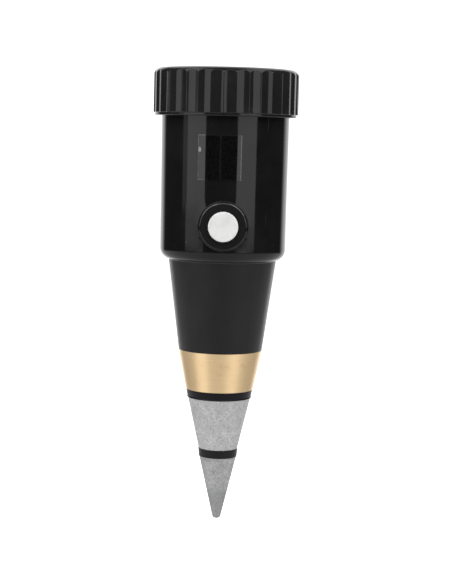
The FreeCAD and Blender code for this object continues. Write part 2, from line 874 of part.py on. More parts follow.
def make_meter_screws():
    offset, meter = DIMENSIONS["post_offset"], DIMENSIONS["meter_offset"]
    dial_screw = slotted_screw("dial_screw", 0.75, D.dial_top - 4, D.dial_top, 1.5, 0.8)
    copies("dial_screws", dial_screw, [moved(x, y, 0, 30 + 40 * x) for x, y in DIAL_SCREW_PLACES])
    strip_top = D.upper_bridge_bottom + D.bridge_strip
    bridge_screw = slotted_screw("bridge_screw", 0.75, strip_top - 10, strip_top, 1.4, 0.8)
    copies("bridge_screws", bridge_screw, [moved(side * offset, meter, 0, 25 * side) for side in (-1, 1)])
    movement_screw = slotted_screw("movement_screw", 1, D.case_bottom - 10.5, D.case_bottom, 1.9, 1.2)
    twice = 2 * DIMENSIONS["case_bottom"]
    under = [moved(side * offset, meter, twice, 15 * side, True) for side in (-1, 1)]
    copies("movement_screws", movement_screw, under)


def make_magnet_system():
    core = tube("core_magnet", 1.4, D.core_radius, D.core_bottom, D.core_top)
    round_rims(core, 0.3, [(D.core_radius, D.core_top)], "Chamfer")
    at_meter_axis(core)
    yoke = tube("yoke_ring", D.yoke_bore_radius, D.yoke_radius, D.yoke_bottom, D.yoke_top)
    holes = sketch_on(yoke, "XY_Plane", D.yoke_top + 1)
    for side in (-1, 1):
        draw_circle(holes, 0.75, (D.post_offset * side, 0))
    pocket(yoke, holes, 5.2)
    lower_holes = sketch_on(yoke, "XY_Plane", D.yoke_bottom + 3)
    for side in (-1, 1):
        draw_circle(lower_holes, 1, (D.post_offset * side, 0))
    pocket(yoke, lower_holes, 4)
    at_meter_axis(yoke)
    place = V(0, DIMENSIONS["meter_offset"], 0)
    spacers = []
    for side in (-1, 1):
        low = place + V(-1.6, 5 if side > 0 else -9, DIMENSIONS["core_bottom"])
        sizes = {"Length": 3.2, "Width": 4, "Height": D.core_top - D.core_bottom}
        block = primitive("Box", f"spacer_block_{side + 2}", sizes, low)
        ring = doc.addObject("Part::Common", f"spacer_{side + 2}")
        ring.Base = block
        ring.Tool = spacer_ring(side)
        spacers.append(ring)
    doc.recompute()
    group("core_spacers", spacers)


def spacer_ring(side):
    """The space between magnet and yoke, which a spacer block fills where they meet."""
    place = V(0, DIMENSIONS["meter_offset"], DIMENSIONS["core_bottom"])
    sizes = {"Height": D.core_top - D.core_bottom}
    outer = primitive("Cylinder", f"gap_outer_{side + 2}", {"Radius": D.yoke_bore_radius, **sizes}, place)
    inner = primitive("Cylinder", f"gap_inner_{side + 2}", {"Radius": D.core_radius, **sizes}, place)
    ring = doc.addObject("Part::Cut", f"gap_{side + 2}")
    ring.Base = outer
    ring.Tool = inner
    return ring


def make_moving_coil():
    """A rectangular coil that stands round the magnet, its sides in the gap left and right."""
    coil = new_body("moving_coil")
    section = sketch_on(coil, "XZ_Plane", -1.1)
    draw_box(section, (-7.1, D.core_bottom - 2), (7.1, D.core_top + 2))
    draw_box(section, (-6.1, D.core_bottom - 1), (6.1, D.core_top + 1))
    pad(coil, section, 2.2)
    at_meter_axis(coil, 0, ZERO_ANGLE)


def make_coil_pivots():
    """Upper and lower posts on the coil, each ending in a fine point that turns in a jewel."""
    top = D.core_top + 2
    bottom = D.core_bottom - 2
    upper = new_body("upper_pivot")
    revolve(upper, [(0, top), (1.5, top), (1.5, top + 0.4), (0.5, top + 0.4), (0.5, top + 3.6),
                    (0.12, top + 4.5), (0, top + 4.5)])
    lower = new_body("lower_pivot")
    revolve(lower, [(0, bottom), (1.5, bottom), (1.5, bottom - 0.4), (0.5, bottom - 0.4),
                    (0.5, bottom - 2), (0.12, bottom - 2.7), (0, bottom - 2.7)])
    for post in (upper, lower):
        SUB_PARTS.remove(post)
    pair = Part.makeCompound([upper.Shape, lower.Shape])
    at_meter_axis(shape_feature("coil_pivots", pair), 0, ZERO_ANGLE)


POINTER_HEIGHT = 149
ZERO_ANGLE = 45


def make_pointer():
    """A blade pointer with a hub on the upper post, a tail and two cross arms for the weights."""
    hub = Part.makeCylinder(1.3, 0.9, V(0, 0, POINTER_HEIGHT - 0.3))
    blade_points = [V(-0.45, 0, 0), V(-0.12, 22.4, 0), V(0.12, 22.4, 0), V(0.45, 0, 0)]
    blade = Part.Face(Part.makePolygon(blade_points + blade_points[:1])).extrude(V(0, 0, 0.3))
    blade.translate(V(0, 0, POINTER_HEIGHT))
    tail = Part.makeBox(0.7, 5.2, 0.3, V(-0.35, -5.2, POINTER_HEIGHT))
    arms = Part.makeBox(8.4, 0.6, 0.3, V(-4.2, -0.3, POINTER_HEIGHT))
    bore = Part.makeCylinder(0.5, 2, V(0, 0, POINTER_HEIGHT - 0.5))
    shape = hub.fuse([blade, tail, arms]).removeSplitter().cut(bore)
    at_meter_axis(shape_feature("pointer", shape), 0, ZERO_ANGLE)


def make_balance_weights():
    """Small turned weights under the tail and on the two cross arms."""
    rings = [Part.makeCylinder(0.55, 0.5, V(x, y, POINTER_HEIGHT - 0.5))
             for x, y in ((-3.5, 0), (3.5, 0), (0, -4.5))]
    at_meter_axis(shape_feature("balance_weights", Part.makeCompound(rings)), 0, ZERO_ANGLE)


def make_hairsprings():
    """Two flat spirals, from a collet on each post out to a fixed anchor on its bridge."""
    heights = {"upper_hairspring": POINTER_HEIGHT + 0.9, "lower_hairspring": 131.1}
    for name, height in heights.items():
        strip = spiral_strip(0.72, 2.9, 4.5, 0.3, 0.07)
        collet = Part.makeCylinder(0.85, 0.3).cut(Part.makeCylinder(0.56, 0.3))
        anchor = Part.makeBox(0.5, 0.3, 0.3, V(-3.3, -0.15, 0))
        at_meter_axis(shape_feature(name, strip.fuse([collet, anchor])), height)


def make_bridges():
    """A strip with two posts above the coil, and the same below it, each with a bearing hole."""
    add_bridge("upper_bridge", D.upper_bridge_bottom, D.yoke_top, D.upper_bridge_bottom, 0.8, 149.9)
    strip_top = D.lower_bridge_bottom + D.bridge_strip
    add_bridge("lower_bridge", D.lower_bridge_bottom, strip_top, D.yoke_bottom, 1.05, 131.1)


def add_bridge(name, strip_bottom, post_bottom, post_top, hole_radius, anchor_height):
    bridge = new_body(name)
    strip = sketch_on(bridge, "XY_Plane", strip_bottom)
    draw_slot(strip, DIMENSIONS["post_offset"], 1.7)
    pad(bridge, strip, D.bridge_strip)
    posts = sketch_on(bridge, "XY_Plane", post_bottom)
    for side in (-1, 1):
        draw_circle(posts, 1.4, (D.post_offset * side, 0))
    pad(bridge, posts, post_top - post_bottom)
    holes = sketch_on(bridge, "XY_Plane", 160)
    for side in (-1, 1):
        draw_circle(holes, hole_radius, (D.post_offset * side, 0))
    draw_circle(holes, 1, (0, 0))
    pocket(bridge, holes, 40)
    low = min(anchor_height, strip_bottom.value)
    high = max(anchor_height, strip_bottom.value)
    tab = sketch_on(bridge, "XY_Plane", low)
    draw_box(tab, (-4, -0.6), (-3.3, 0.6))
    pad(bridge, tab, high - low + 0.5)
    at_meter_axis(bridge)


def make_jewel_screws():
    """Bearing screws through both bridges, each with a conical jewel cup for the pivot's point."""
    strip_top = DIMENSIONS["upper_bridge_bottom"] + DIMENSIONS["bridge_strip"]
    upper_tip = DIMENSIONS["core_top"] + 2 + 4.5
    upper = Part.makeCylinder(1, strip_top + 0.8 - upper_tip + 0.6, V(0, 0, upper_tip - 0.6))
    upper = upper.cut(Part.makeCone(0.62, 0.08, 0.8, V(0, 0, upper_tip - 0.6)))
    slot = Part.makeBox(3, 0.35, 0.5, V(-1.5, -0.175, strip_top + 0.4))
    upper = upper.cut(slot)
    lower_tip = DIMENSIONS["core_bottom"] - 2 - 2.7
    foot = DIMENSIONS["lower_bridge_bottom"] - 0.5
    lower = Part.makeCylinder(1, lower_tip + 0.6 - foot, V(0, 0, foot))
    lower = lower.cut(Part.makeCone(0.08, 0.62, 0.8, V(0, 0, lower_tip - 0.2)))
    at_meter_axis(shape_feature("jewel_screws", Part.makeCompound([upper, lower])))


def make_meter_terminals():
    pins = []
    for side in (-1, 1):
        place = V(TERMINAL_SPACING / 2 * side, TERMINAL_DEPTH, DIMENSIONS["case_bottom"] - 2.5)
        pins.append(primitive("Cylinder", f"pin_{side + 2}", {"Radius": 0.8, "Height": 6}, place))
    group("meter_terminals", pins)


# ---- probe ---------------------------------------------------------------------------------------------

def make_tip_electrode():
    bore_bottom = D.tip_top - 10
    tip = turned("tip_electrode", [
        (0, 0),
        (D.tip_flat_radius, 0),
        (D.tip_top_radius, D.tip_top),
        (3.6, D.tip_top),
        (3.6, D.tip_top + 1.5),
        (D.rod_radius, D.tip_top + 1.5),
        (D.rod_radius, bore_bottom),
        (0, bore_bottom),
    ])
    round_rims(tip, 1.1, [(D.tip_flat_radius, 0)])


def make_lower_collar():
    collar = turned("lower_collar", [
        (3.65, D.tip_top),
        (D.tip_top_radius + D.collar_overhang, D.tip_top),
        (D.ring_bottom_radius + D.collar_overhang, D.lower_collar_top),
        (2.2, D.lower_collar_top),
        (2.2, 68.4),
        (D.rod_radius + 0.05, 68.4),
        (D.rod_radius + 0.05, D.tip_top + 1.55),
        (3.65, D.tip_top + 1.55),
    ])
    round_rims(collar, 0.15, [(D.ring_bottom_radius + D.collar_overhang, D.lower_collar_top)])


def make_ring_electrode():
    turned("ring_electrode", [
        (2.25, D.lower_collar_top),
        (D.ring_bottom_radius, D.lower_collar_top),
        (D.ring_top_radius, D.ring_top),
        (5.5, D.ring_top),
        (5.5, D.ring_top + 1.2),
        (D.contact_tube_radius, D.ring_top + 1.2),
        (D.contact_tube_radius, 34),
        (2.25, 34),
    ])


def make_upper_collar():
    """Collar with a small flared lip at its lower edge and a tube up through the brass ring."""
    collar = turned("upper_collar", [
        (5.55, D.ring_top),
        (D.ring_top_radius + 0.35, D.ring_top),
        (D.ring_top_radius + 0.2, D.ring_top + 0.5),
        (D.brass_bottom_radius - 0.1, D.upper_collar_top),
        (4, D.upper_collar_top),
        (4, D.brass_top + D.floor_thickness),
        (D.contact_tube_radius + 0.05, D.brass_top + D.floor_thickness),
        (D.contact_tube_radius + 0.05, D.ring_top + 1.25),
        (5.55, D.ring_top + 1.25),
    ])
    round_rims(collar, 0.12, [(D.ring_top_radius + 0.35, D.ring_top)])


def make_brass_electrode():
    spigot_floor = D.brass_top - D.spigot_length
    brass = turned("brass_electrode", [
        (4.05, D.upper_collar_top),
        (D.brass_bottom_radius, D.upper_collar_top),
        (D.brass_top_radius, D.brass_top),
        (13, D.brass_top),
        (13, D.brass_top - 1.2),
        (11.2, D.brass_top - 1.2),
        (11.2, D.brass_top),
        (D.spigot_radius + 0.05, D.brass_top),
        (D.spigot_radius + 0.05, spigot_floor),
        (4.05, spigot_floor),
    ])
    hole = sketch_on(brass, "XY_Plane", D.brass_top)
    draw_circle(hole, 1.25, (-7.6, 0))
    pocket(brass, hole, D.spigot_length + 6)


def make_probe_seal():
    seal = tube("probe_seal", 11.25, 12.95, D.brass_top - 1.2, D.brass_top)
    corners = [(radius, height) for radius in (11.25, 12.95) for height in (D.brass_top - 1.2, D.brass_top)]
    round_rims(seal, 0.4, corners)


def make_stack_fixings():
    """Rod, tube, nuts and washers that clamp the probe to the housing's floor and bring out its current."""
    floor_top = D.brass_top + D.floor_thickness
    turned("tie_rod", [(0, D.tip_top - 9.5), (D.rod_radius, D.tip_top - 9.5), (D.rod_radius, 74), (0, 74)])
    tube("contact_tube", 2.3, D.contact_tube_radius, 34, 69)
    tube("clamp_washer", D.contact_tube_radius + 0.1, 5.2, floor_top, floor_top + 0.8)
    add_nut("clamp_nut", 8, D.contact_tube_radius, floor_top + 1.2, 2.2)
    tube("tip_washer", D.rod_radius + 0.05, 3.4, 69, 69.8)
    add_nut("tip_nut", 5.5, D.rod_radius, size(70.2), 2.4)
    head_seat = floor_top + 0.4
    screw = slotted_screw("brass_contact_screw", 1.25, D.brass_top - 7, head_seat, 2, 1.4)
    screw.Placement = FreeCAD.Placement(V(-7.6, 0, 0), FreeCAD.Rotation(UP, 35))
    SUB_PARTS.append(screw)


def add_nut(name, across_flats, bore, bottom, height):
    nut = new_body(name)
    outline = sketch_on(nut, "XY_Plane", bottom)
    draw_hexagon(outline, across_flats)
    draw_circle(outline, bore)
    pad(nut, outline, height)


# Each tag's eyelet: bore, height, and the direction its tail points in.
TAGS = {
    "tip": {"centre": (0, 0), "bore": 1.5, "height": 69.8, "angle": 90},
    "ring": {"centre": (0, 0), "bore": 3.05, "height": 65.1, "angle": 0},
    "brass": {"centre": (-7.6, 0), "bore": 1.3, "height": 64.3, "angle": 90},
}
TAG_THICKNESS = 0.4


def tag_tail(tag):
    """Where a lead meets a tag: the end of its tail."""
    reach = tag["bore"] + 4.2
    turn = math.radians(tag["angle"])
    x, y = tag["centre"]
    return x + reach * math.cos(turn), y + reach * math.sin(turn), tag["height"] + TAG_THICKNESS


def make_solder_tags():
    shapes = []
    for tag in TAGS.values():
        eyelet = Part.makeCylinder(tag["bore"] + 1, TAG_THICKNESS)
        tail = Part.makeBox(tag["bore"] + 4.8, 1.6, TAG_THICKNESS, V(0, -0.8, 0))
        shape = eyelet.fuse(tail).cut(Part.makeCylinder(tag["bore"], TAG_THICKNESS))
        shape.rotate(V(0, 0, 0), UP, tag["angle"])
        shape.translate(V(*tag["centre"], tag["height"]))
        shapes.append(shape)
    shape_feature("solder_tags", Part.makeCompound(shapes))


# ---- leads ---------------------------------------------------------------------------------------------

LEAD_RADIUS = 0.55


def make_electrode_leads():
    """Three leads that stand on the tags' tails, climb the cone and turn in to the back of the board."""
    back = DIMENSIONS["board_thickness"]
    hole_height = DIMENSIONS["switch_height"] - 6
    routes = {
        "lead_tip": (TAGS["tip"], 0, 77, [(0.9, 6.9, 86)]),
        "lead_ring": (TAGS["ring"], 6, 72, [(8.7, 2, 79.5), (7.9, 6, 88)]),
        "lead_brass": (TAGS["brass"], -6, 71.5, [(-9.1, 4.5, 79.5), (-8.1, 6.9, 88)]),
    }
    for name, (tag, hole_x, first_bend, middle) in routes.items():
        x, y, height = tag_tail(tag)
        start = [(x, y, height), (x, y, first_bend)]
        turn_in = [(hole_x, 8.2, hole_height - 4.6), (hole_x, 5.6, hole_height), (hole_x, back, hole_height)]
        shape_feature(name, bent_wire([*start, *middle, *turn_in], LEAD_RADIUS))


def make_meter_leads():
    """Two leads from the board's top holes up to the pins under the meter."""
    back = DIMENSIONS["board_thickness"]
    hole_height = DIMENSIONS["switch_height"] + 13
    pin_bottom = DIMENSIONS["case_bottom"] - 2.5
    for name, side in (("lead_meter_left", -1), ("lead_meter_right", 1)):
        x = TERMINAL_SPACING / 2 * side
        route = [
            (x, back, hole_height),
            (x, back + 4, hole_height),
            (x, TERMINAL_DEPTH, hole_height + 1.8),
            (x, TERMINAL_DEPTH, pin_bottom),
        ]
        shape_feature(name, bent_wire(route, LEAD_RADIUS))


# ---- build, check and write ----------------------------------------------------------------------------

def build():
    fill_sheet()
    make_screw_cap()
    make_window()
    make_dial_ring()
    make_housing()
    make_nameplate()
    make_switch_bush()
    make_switch_button()
    make_switch_spring()
    make_switch_case()
    make_contact_bridge()
    make_switch_terminals()
    make_switch_fixings()
    make_circuit_board()
    make_resistors()
    make_meter_case()
    make_dial_plate()
    make_meter_screws()
    make_magnet_system()
    make_moving_coil()
    make_coil_pivots()
    make_pointer()
    make_balance_weights()
    make_hairsprings()
    make_bridges()
    make_jewel_screws()
    make_meter_terminals()
    make_tip_electrode()
    make_lower_collar()
    make_ring_electrode()
    make_upper_collar()
    make_brass_electrode()
    make_probe_seal()
    make_stack_fixings()
    make_solder_tags()
    make_electrode_leads()
    make_meter_leads()
    doc.recompute()


def check_document():
    for item in doc.Objects:
        if "Invalid" in item.State or "Error" in item.State:
            raise ValueError(f"{item.Label} failed to compute: {item.State}")
    for part in SUB_PARTS:
        if part.Shape.isNull() or not part.Shape.isValid() or not part.Shape.Solids:
            raise ValueError(f"{part.Label} has no valid solid")


def write_parts():
    os.makedirs("parts", exist_ok=True)
    for part in SUB_PARTS:
        part.Shape.exportStep(f"parts/{part.Label}.step")
        print(f"{part.Label}: {len(part.Shape.Solids)} solid(s), {part.Shape.Volume:.2f} mm3")


build()
check_document()
write_parts()
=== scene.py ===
"""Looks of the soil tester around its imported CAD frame: materials, the dial's print, the return spring,
lights and camera. Everything is in metres in the CAD frame: tip at the origin, +Z up, the push button
towards -Y."""
import math

import bmesh
import bpy
from mathutils import Matrix, Vector


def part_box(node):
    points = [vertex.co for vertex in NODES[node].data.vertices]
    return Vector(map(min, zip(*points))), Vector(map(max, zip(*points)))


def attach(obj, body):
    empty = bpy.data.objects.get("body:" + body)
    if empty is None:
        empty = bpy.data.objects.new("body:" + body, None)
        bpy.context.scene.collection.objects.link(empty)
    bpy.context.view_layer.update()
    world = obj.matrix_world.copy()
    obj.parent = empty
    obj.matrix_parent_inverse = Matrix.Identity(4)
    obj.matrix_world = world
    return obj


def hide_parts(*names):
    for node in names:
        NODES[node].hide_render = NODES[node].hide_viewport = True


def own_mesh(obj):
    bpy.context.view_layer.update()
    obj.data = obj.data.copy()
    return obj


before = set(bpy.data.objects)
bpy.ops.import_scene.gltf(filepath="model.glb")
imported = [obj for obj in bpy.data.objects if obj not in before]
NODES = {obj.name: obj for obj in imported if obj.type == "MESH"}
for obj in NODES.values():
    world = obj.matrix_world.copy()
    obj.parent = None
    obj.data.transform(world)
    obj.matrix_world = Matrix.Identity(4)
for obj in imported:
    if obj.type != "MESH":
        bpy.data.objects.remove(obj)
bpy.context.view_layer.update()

MM = 0.001


# ---- places worked out from the frame --------------------------------------------------------------------

def centre_of(node):
    low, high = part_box(node)
    return (low + high) / 2


CONE_TOP = 93.4 * MM    # where the housing's cone meets the shoulder
METER_AXIS = Vector((0, centre_of("yoke_ring").y, 0))
DIAL_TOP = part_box("dial_plate")[1].z
SWITCH = centre_of("switch_bush")


# ---- material helpers ------------------------------------------------------------------------------------

class Graph:
    """A node tree in the making, with short calls that add nodes to it."""

    def __init__(self, tree):
        self.tree = tree

    def feed(self, socket, value):
        """Sets a socket to a plain value, or links another node's output to it."""
        if isinstance(value, bpy.types.NodeSocket):
            self.tree.links.new(value, socket)
        elif isinstance(value, (tuple, list)) and socket.type == "RGBA":
            socket.default_value = (*value, 1)
        else:
            socket.default_value = value

    def node(self, kind, settings=None, **inputs):
        node = self.tree.nodes.new(kind)
        for name, value in (settings or {}).items():
            setattr(node, name, value)
        for name, value in inputs.items():
            self.feed(node.inputs[name.replace("_", " ")], value)
        return node

    def math(self, operation, *values):
        node = self.node("ShaderNodeMath", {"operation": operation})
        for socket, value in zip(node.inputs, values):
            self.feed(socket, value)
        return node.outputs[0]

    def distance(self, first, second):
        return self.math("ABSOLUTE", self.math("SUBTRACT", first, second))

    def sum_of_squares(self, first, second):
        return self.math("ADD", self.math("MULTIPLY", first, first), self.math("MULTIPLY", second, second))

    def ramp(self, value, low, high, to_low=0.0, to_high=1.0, smooth=True):
        """Maps value from low..high to to_low..to_high, and holds it flat outside."""
        node = self.node("ShaderNodeMapRange", {"interpolation_type": "SMOOTHSTEP" if smooth else "LINEAR"})
        for name, amount in zip(("Value", "From Min", "From Max", "To Min", "To Max"),
                                (value, low, high, to_low, to_high)):
            self.feed(node.inputs[name], amount)
        return node.outputs["Result"]

    def blend(self, share, first, second):
        """Mixes two colours, plain or linked, by share."""
        node = self.node("ShaderNodeMix", {"data_type": "RGBA"}, Factor=share)
        sockets = [socket for socket in node.inputs if socket.type == "RGBA"]
        for socket, colour in zip(sockets, (first, second)):
            self.feed(socket, colour)
        return node.outputs[2]


class Finish(Graph):
    """A procedural material in the making: one Principled shader and the nodes in front of it."""

    def __init__(self, name, **settings):
        self.material = bpy.data.materials.new(name)
        self.material.use_nodes = True
        super().__init__(self.material.node_tree)
        self.shader = self.tree.nodes["Principled BSDF"]
        self.relief = None
        for socket, value in settings.items():
            self.set(socket.replace("_", " ").title().replace("Ior", "IOR"), value)

    def set(self, socket, value):
        self.feed(self.shader.inputs[socket], value)

    def place(self, stretch=(1, 1, 1)):
        """The point on the object, in metres, stretched along the axes."""
        point = self.node("ShaderNodeTexCoord").outputs["Object"]
        return self.node("ShaderNodeMapping", Vector=point, Scale=stretch).outputs["Vector"]

    def axis(self, letter):
        point = self.node("ShaderNodeTexCoord").outputs["Object"]
        return self.node("ShaderNodeSeparateXYZ", Vector=point).outputs[letter]

    def bearing(self):
        """Angle about the tester's axis in degrees: 0 at the front, positive to the right."""
        front = self.math("MULTIPLY", self.axis("Y"), -1.0)
        return self.math("DEGREES", self.math("ARCTAN2", self.axis("X"), front))

    def noise(self, size_mm, detail=2.0, roughness=0.5, stretch=(1, 1, 1), distortion=0.0):
        """Noise from 0 to 1 whose grains are about size_mm across."""
        node = self.node("ShaderNodeTexNoise", Vector=self.place(stretch), Scale=1 / (size_mm * MM),
                         Detail=detail, Roughness=roughness, Distortion=distortion)
        return node.outputs["Fac"]

    def specks(self, spacing_mm, size_mm, share):
        """Sparse round specks: 1 on a speck, else 0."""
        node = self.node("ShaderNodeTexVoronoi", Vector=self.place(), Scale=1 / (spacing_mm * MM))
        spot = self.math("LESS_THAN", node.outputs["Distance"], size_mm / spacing_mm / 2)
        chosen = self.node("ShaderNodeSeparateColor", Color=node.outputs["Color"]).outputs["Red"]
        return self.math("MULTIPLY", spot, self.math("LESS_THAN", chosen, share))

    def soften_edges(self, radius_mm):
        """Shades edges as if they were rounded; comes before any relief."""
        node = self.node("ShaderNodeBevel", {"samples": 16}, Radius=radius_mm * MM)
        self.relief = node.outputs["Normal"]

    def bump(self, value, depth_mm):
        """Adds relief of the given depth to the surface, on top of any relief already there."""
        node = self.node("ShaderNodeBump", Height=value, Distance=depth_mm * MM, Strength=1.0)
        if self.relief is not None:
            self.feed(node.inputs["Normal"], self.relief)
        self.relief = node.outputs["Normal"]
        self.set("Normal", self.relief)

    def cover(self, *nodes):
        """Puts the material on CAD nodes or pieces."""
        for item in nodes:
            piece = NODES[item] if isinstance(item, str) else item
            if piece.data.materials:
                for index in range(len(piece.data.materials)):
                    piece.data.materials[index] = self.material
            else:
                piece.data.materials.append(self.material)


# ---- plastics --------------------------------------------------------------------------------------------

BODY_BLACK = (0.0070, 0.0070, 0.0073)
CAP_BLACK = (0.0120, 0.0120, 0.0123)
DUST = (0.30, 0.30, 0.29)
# lighter grey painted at the corner under the shoulder, standing in for light caught there
CORNER_PAINTED_LIGHT = (0.042, 0.042, 0.042)
MOULD_LINE = 41.0    # bearing of the body's mould line, in degrees


def shaded(colour, factor):
    return tuple(channel * factor for channel in colour)


def black_plastic(name, base, gloss, dust_share, edge_mm):
    """Injection-moulded black plastic: slight flow waves, smudges and a few specks of dust. Returns the
    finish, its colour and its roughness, still to be changed and set."""
    finish = Finish(name, ior=1.5, specular_ior_level=0.31)
    finish.soften_edges(edge_mm)
    smudge = finish.noise(14, 4, 0.6)
    dust = finish.specks(4.2, 0.22, dust_share)
    shade = finish.blend(finish.ramp(smudge, 0.35, 0.75), base, shaded(base, 1.5))
    finish.bump(finish.noise(22, 1, 0.4), 0.02)
    return finish, finish.blend(dust, shade, DUST), finish.ramp(smudge, 0.3, 0.8, gloss, gloss + 0.05)


def body_finish():
    """Glossy barrel above a satin, faintly streaked cone, with a mould line down the right and a painted light
    line at the corner between the two."""
    finish, colour, gloss = black_plastic("body_plastic", BODY_BLACK, gloss=0.055, dust_share=0.25,
                                          edge_mm=0.12)
    on_cone = finish.ramp(finish.axis("Z"), CONE_TOP + 0.4 * MM, CONE_TOP - 0.2 * MM)
    # Painted light: a thin band of lighter grey at the corner under the shoulder, standing in for light caught
    # there.
    corner = finish.distance(finish.axis("Z"), CONE_TOP + 0.4 * MM)
    finish.set("Base Color", finish.blend(finish.ramp(corner, 0.8 * MM, 0.3 * MM), colour, CORNER_PAINTED_LIGHT))
    grain = finish.noise(0.35, 3, 0.6)
    streaks = finish.noise(3.0, 2, 0.5, stretch=(1, 1, 0.05))
    satin = finish.ramp(streaks, 0.3, 0.7, 0.27, 0.33)
    roughness = finish.node("ShaderNodeMix", Factor=on_cone)
    finish.feed(roughness.inputs[2], gloss)
    finish.feed(roughness.inputs[3], satin)
    finish.set("Roughness", roughness.outputs[0])
    seam = finish.ramp(finish.distance(finish.bearing(), MOULD_LINE), 0.45, 0.1)
    finish.bump(finish.math("MULTIPLY", seam, finish.ramp(finish.noise(9), 0.4, 0.6)), 0.03)
    finish.bump(finish.math("MULTIPLY", grain, on_cone), 0.0005)
    finish.cover("housing")


def cap_finish():
    """Glossy cap, with drag marks from the mould down its flutes."""
    finish, colour, gloss = black_plastic("cap_plastic", CAP_BLACK, gloss=0.07, dust_share=0.2, edge_mm=0.3)
    finish.set("Base Color", colour)
    finish.set("Roughness", gloss)
    finish.bump(finish.noise(1.1, 2, 0.5, stretch=(1, 1, 0.15)), 0.006)
    finish.cover("screw_cap")


def flange_finish():
    """Spark-eroded matt black of the switch's flange and case, rubbed glossy on the flange's rim, above
    all at its top."""
    finish = Finish("switch_black_plastic", ior=1.5, specular_ior_level=0.2, coat_roughness=0.08,
                    coat_ior=1.7)
    grain = finish.noise(0.22, 3, 0.65)
    finish.set("Base Color", finish.blend(grain, (0.0014, 0.0014, 0.0015), (0.0052, 0.0052, 0.0056)))
    across, up = finish.axis("X"), finish.math("SUBTRACT", finish.axis("Z"), SWITCH.z)
    reach = finish.math("SQRT", finish.sum_of_squares(across, up))
    rim_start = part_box("switch_bush")[1].x - 0.7 * MM
    rim = finish.ramp(reach, rim_start, rim_start + 0.15 * MM)
    matt = finish.ramp(grain, 0.3, 0.7, 0.42, 0.55)
    finish.set("Roughness", finish.ramp(rim, 0.0, 1.0, matt, 0.10))
    finish.set("Coat Weight", finish.math("MULTIPLY", rim, finish.ramp(up, -3 * MM, 5 * MM, 0.25, 0.75)))
    finish.bump(finish.math("MULTIPLY", grain, finish.math("SUBTRACT", 1.0, rim)), 0.012)
    finish.cover("switch_bush", "switch_case")


def button_finish():
    """White moulded button, very slightly grey where fingers press it."""
    finish = Finish("button_plastic", ior=1.46)
    wear = finish.noise(3.5, 4, 0.6)
    patchy = finish.ramp(wear, 0.35, 0.8)
    finish.set("Base Color", finish.blend(patchy, (0.80, 0.80, 0.79), (0.70, 0.70, 0.695)))
    finish.set("Roughness", finish.ramp(wear, 0.3, 0.7, 0.30, 0.42))
    finish.set("Subsurface Weight", 0.15)
    finish.set("Subsurface Scale", 0.4 * MM)
    finish.set("Subsurface Radius", (1, 1, 1))
    finish.bump(finish.noise(0.6, 2), 0.004)
    finish.cover("switch_button")


def collar_finish(name, node, dark, light, shine):
    """Black insulating collar with turning marks round it."""
    finish = Finish(name, ior=1.5, specular_ior_level=shine)
    rings = finish.noise(0.25, 2, 0.6, stretch=(0.05, 0.05, 1))
    finish.set("Base Color", finish.blend(rings, dark, light))
    finish.set("Roughness", finish.ramp(rings, 0.3, 0.7, 0.30, 0.45))
    finish.bump(rings, 0.01)
    finish.cover(node)


# Bearings on the nameplate, in degrees.
PLATE_LEFT, PLATE_RIGHT = -23.2, 13.9
CREASE = -3.1
BLISTER = -22.2


def nameplate_finish():
    """Blank glossy film: deep black, with a crease down its middle and a small blister, and painted highlights
    in pale grey along its edges, down the crease and on the blister.
    """
    finish = Finish("nameplate_film", ior=1.5, specular_ior_level=0.5, roughness=0.06)
    low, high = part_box("nameplate")
    bearing, height = finish.bearing(), finish.axis("Z")
    # Masks for the painted highlights along the film's edges.
    right_edge = finish.ramp(bearing, PLATE_RIGHT, PLATE_RIGHT + 0.2)
    left_edge = finish.ramp(bearing, PLATE_LEFT, PLATE_LEFT - 0.3)
    inner, outer = 0.35 * MM, 0.25 * MM
    top_edge = finish.ramp(height, high.z - inner, high.z - outer, 0, 1)
    bottom_edge = finish.ramp(height, low.z + inner, low.z + outer, 0, 0.5)
    ends = finish.math("MAXIMUM", top_edge, bottom_edge)
    fade = finish.ramp(bearing, -16.0, -19.0, 0.12, 1.0)
    # Noise that breaks up the painted highlight along the left edge.
    patchy = finish.ramp(finish.noise(1.6, 3), 0.42, 0.62, 0.2, 1.0)
    waver = finish.ramp(finish.noise(5), 0.3, 0.7, CREASE, CREASE - 0.8)
    crease = finish.ramp(finish.distance(bearing, waver), 1.2, 0.1)
    blister = blister_mask(finish, bearing, height, high.z)
    # Painted highlights: pale grey painted on the edges, the crease and the blister, standing in for light
    # caught there.
    pale = 0.0
    for mask, share in ((right_edge, 0.14), (finish.math("MULTIPLY", left_edge, patchy), 0.16),
                        (finish.math("MULTIPLY", ends, fade), 0.14), (crease, 0.014), (blister, 0.42)):
        pale = finish.math("MAXIMUM", pale, finish.math("MULTIPLY", mask, share))
    grain = finish.noise(0.9, 4, 0.7)
    film = finish.blend(finish.ramp(grain, 0.4, 0.7), (0.0016, 0.0016, 0.0016), (0.0056, 0.0056, 0.0058))
    finish.set("Base Color", finish.blend(pale, film, (0.50, 0.50, 0.50)))
    finish.bump(crease, 0.012)
    finish.bump(blister, 0.12)
    finish.bump(finish.noise(7, 1), 0.015)
    finish.cover("nameplate")


def blister_mask(finish, bearing, height, top):
    """1 on the small blister near the film's left edge, a third of the way down."""
    middle, half_height, half_width = top - 5.1 * MM, 1.2 * MM, 2.0
    across = finish.math("DIVIDE", finish.math("SUBTRACT", bearing, BLISTER), half_width)
    along = finish.math("DIVIDE", finish.math("SUBTRACT", height, middle), half_height)
    return finish.ramp(finish.sum_of_squares(across, along), 1.0, 0.2)


# ---- metals ----------------------------------------------------------------------------------------------

PIT = (0.12, 0.12, 0.12)
WIRE_SCALE = 2600.0    # draws a turn of wire every 0.12 mm


